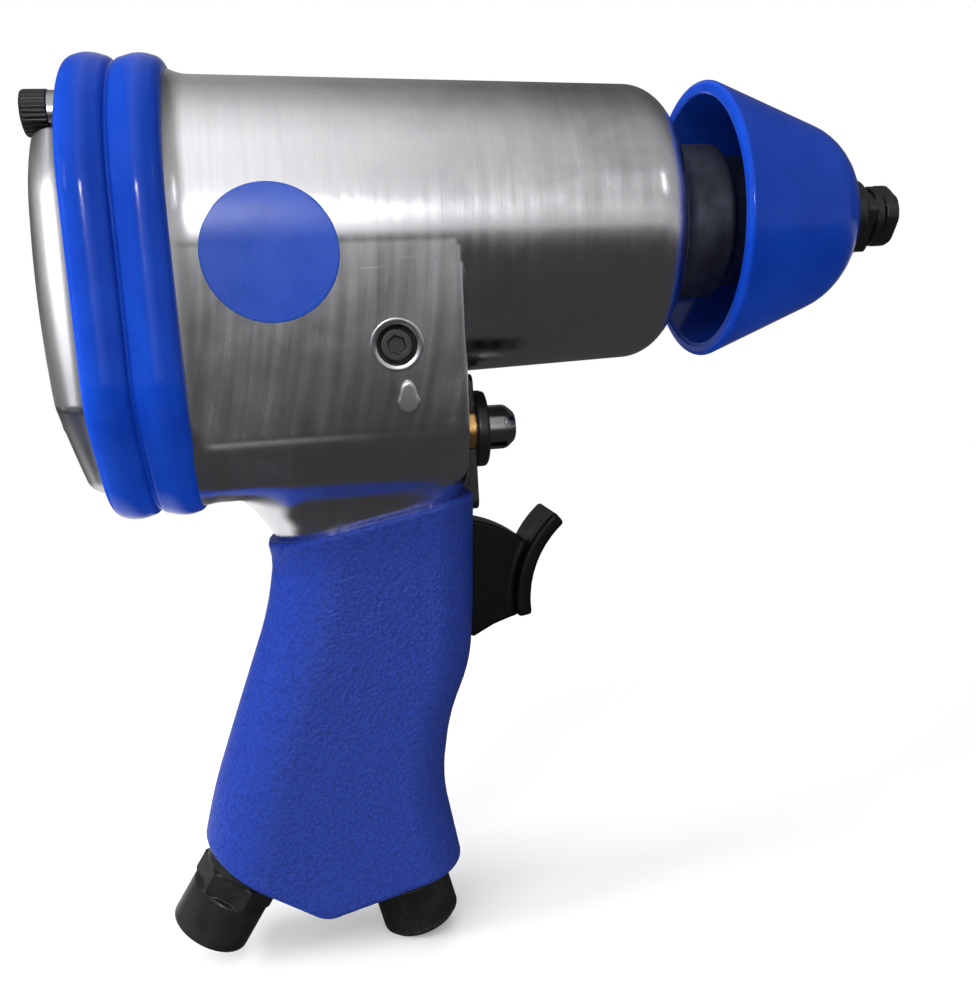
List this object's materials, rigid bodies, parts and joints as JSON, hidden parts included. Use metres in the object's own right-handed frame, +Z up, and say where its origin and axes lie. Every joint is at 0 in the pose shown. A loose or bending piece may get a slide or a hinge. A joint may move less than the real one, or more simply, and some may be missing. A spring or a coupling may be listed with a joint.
{
  "type": "impact wrench",
  "caption": "Pistol-grip air impact wrench with a polished barrel, blue rubber bumpers and grip, square drive, trigger, reverse valve and air regulator.",
  "frame": {"origin": "on the drive axis, at the shoulder of the square drive where a socket seats", "axes": "+X forward along the drive axis, +Z up away from the handle, +Y to the tool's left"},
  "size_m": [0.187, 0.0724, 0.1992],
  "materials": {
    "polished_aluminium": "polished casting",
    "brushed_aluminium": "brushed casting",
    "blue_bumper": "glossy moulded rubber",
    "blue_grip": "matte grained rubber",
    "blue_label": "satin film",
    "black_plastic": "moulded black",
    "black_steel": "black oxide",
    "bright_steel": "ground",
    "brass": "turned",
    "seal_rubber": "matte",
    "gasket_board": "fibre board",
    "vane_resin": "phenolic laminate"
  },
  "bodies": {
    "body": {"housing": "polished_aluminium", "rear_cover": "brushed_aluminium", "rear_gasket": "gasket_board", "cover_screws": "black_steel", "spring_washers": "bright_steel", "rear_bumper": "blue_bumper", "nose_bumper": "blue_bumper", "handle_grip": "blue_grip", "label_disc": "blue_label", "oil_plug": "black_steel", "oil_plug_washer": "seal_rubber", "trigger_pin": "bright_steel", "throttle_spring": "bright_steel", "throttle_bush": "brass", "valve_plug": "brass", "reverse_sleeve": "brass", "reverse_plate": "black_steel", "plate_screws": "bright_steel", "reverse_stop_pin": "bright_steel", "inlet_bushing": "black_steel", "inlet_washer": "seal_rubber", "inlet_screen": "bright_steel", "regulator_pin": "bright_steel", "anvil_bush": "brass", "nose_seal": "seal_rubber", "thrust_washer": "brass", "cylinder_liner": "bright_steel", "front_end_plate": "bright_steel", "rear_end_plate": "bright_steel", "front_bearing": "bright_steel", "rear_bearing": "bright_steel", "alignment_pin": "bright_steel", "exhaust_silencers": "seal_rubber"},
    "drive": {"anvil": "black_steel", "friction_ring": "black_steel", "friction_oring": "seal_rubber"},
    "motor": {"rotor": "bright_steel", "rotor_vanes": "vane_resin", "hammer_cage": "bright_steel", "hammer_pins": "bright_steel"},
    "dog_rear": {"rear_dog": "bright_steel"},
    "dog_front": {"front_dog": "bright_steel"},
    "trigger_lever": {"trigger": "black_plastic"},
    "throttle": {"throttle_stem": "bright_steel"},
    "reverse": {"reverse_spool": "bright_steel", "reverse_oring": "seal_rubber"},
    "regulator": {"regulator_knob": "black_steel", "regulator_stem": "bright_steel", "regulator_oring": "seal_rubber"}
  },
  "joints": [
    {"name": "drive_spin", "type": "hinge", "parent": "body", "child": "drive", "pos_m": [0, 0, 0], "axis": [1, 0, 0], "continuous": true},
    {"name": "motor_spin", "type": "hinge", "parent": "body", "child": "motor", "pos_m": [-0.13, 0, 0], "axis": [1, 0, 0], "continuous": true},
    {"name": "rear_dog_rock", "type": "hinge", "parent": "motor", "child": "dog_rear", "pos_m": [-0.0886, 0, 0.0175], "axis": [1, 0, 0], "range_deg": [-4, 4]},
    {"name": "front_dog_rock", "type": "hinge", "parent": "motor", "child": "dog_front", "pos_m": [-0.0758, 0, -0.0175], "axis": [1, 0, 0], "range_deg": [-4, 4]},
    {"name": "trigger_pull", "type": "hinge", "parent": "body", "child": "trigger_lever", "pos_m": [-0.1036, 0, -0.09], "axis": [0, -1, 0], "range_deg": [0, 15], "stiffness_Nm_per_rad": 0.4, "springref_deg": -14.32},
    {"name": "throttle_slide", "type": "slide", "parent": "body", "child": "throttle", "axis": [-1, 0, 0], "range_m": [0, 0.0031], "deforming": ["throttle_spring"]},
    {"name": "reverse_slide", "type": "slide", "parent": "body", "child": "reverse", "axis": [-1, 0, 0], "range_m": [0, 0.005]},
    {"name": "regulator_turn", "type": "hinge", "parent": "body", "child": "regulator", "pos_m": [-0.1167, 0, -0.1469], "axis": [0.225, 0, -0.9744], "range_deg": [-90, 90]}
  ],
  "couplings": [
    {"joint": "throttle_slide", "follows": "trigger_pull", "m_per_rad": 0.0115}
  ]
}
